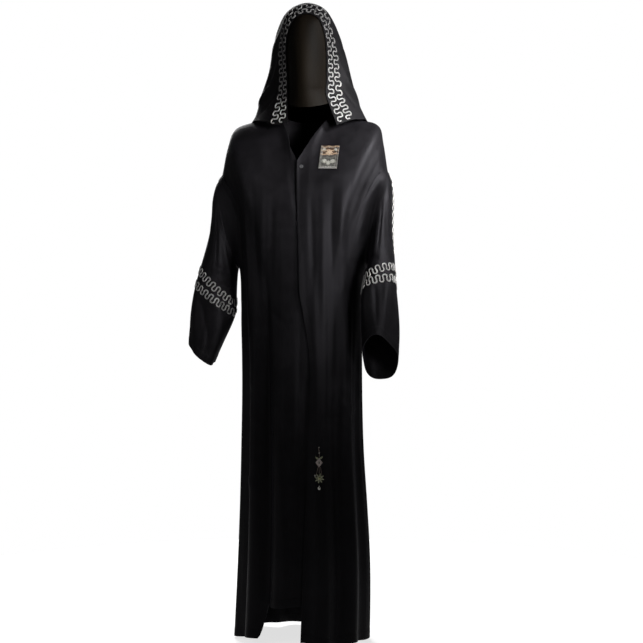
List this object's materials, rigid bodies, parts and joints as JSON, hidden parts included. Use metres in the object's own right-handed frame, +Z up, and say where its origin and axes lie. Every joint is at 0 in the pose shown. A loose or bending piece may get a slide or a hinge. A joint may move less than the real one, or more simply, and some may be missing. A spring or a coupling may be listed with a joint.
{
  "type": "burqa",
  "caption": "Black abaya-style robe with open head veil, sheer face veil and serpentine silver braid, hollow cloth held in its worn shape.",
  "frame": {"origin": "middle of the neck base, at the height where the robe lies on the wearer's shoulders", "axes": "+Z up, the front of the garment faces -Y, +X is towards the wearer's left"},
  "size_m": [0.5866, 0.3146, 1.724],
  "materials": {
    "front_right": "matt black crepe",
    "front_left": "matt black crepe",
    "back": "matt black crepe",
    "sleeve_right": "matt black crepe",
    "sleeve_left": "matt black crepe",
    "head_veil": "soft black georgette",
    "face_veil": "sheer black chiffon",
    "veil_braid_outer": "silver-grey couched braid",
    "veil_braid_inner": "silver-grey couched braid",
    "sleeve_right_braid_upper": "silver-grey couched braid",
    "sleeve_right_braid_lower": "silver-grey couched braid",
    "sleeve_left_braid_upper": "silver-grey couched braid",
    "sleeve_left_braid_lower": "silver-grey couched braid",
    "sleeve_right_seam_braid": "silver-grey couched braid",
    "sleeve_left_seam_braid": "silver-grey couched braid",
    "chest_badge": "embroidered gold and silver thread",
    "drop_ornament": "beaded and embroidered motif",
    "front_snap": "black enamel press stud"
  },
  "bodies": {
    "root": {"front_right": "front_right", "front_left": "front_left", "back": "back", "sleeve_right": "sleeve_right", "sleeve_left": "sleeve_left", "head_veil": "head_veil", "face_veil": "face_veil", "veil_braid_outer": "veil_braid_outer", "veil_braid_inner": "veil_braid_inner", "sleeve_right_braid_upper": "sleeve_right_braid_upper", "sleeve_right_braid_lower": "sleeve_right_braid_lower", "sleeve_left_braid_upper": "sleeve_left_braid_upper", "sleeve_left_braid_lower": "sleeve_left_braid_lower", "sleeve_right_seam_braid": "sleeve_right_seam_braid", "sleeve_left_seam_braid": "sleeve_left_seam_braid", "chest_badge": "chest_badge", "drop_ornament": "drop_ornament", "front_snap": "front_snap"}
  },
  "joints": []
}
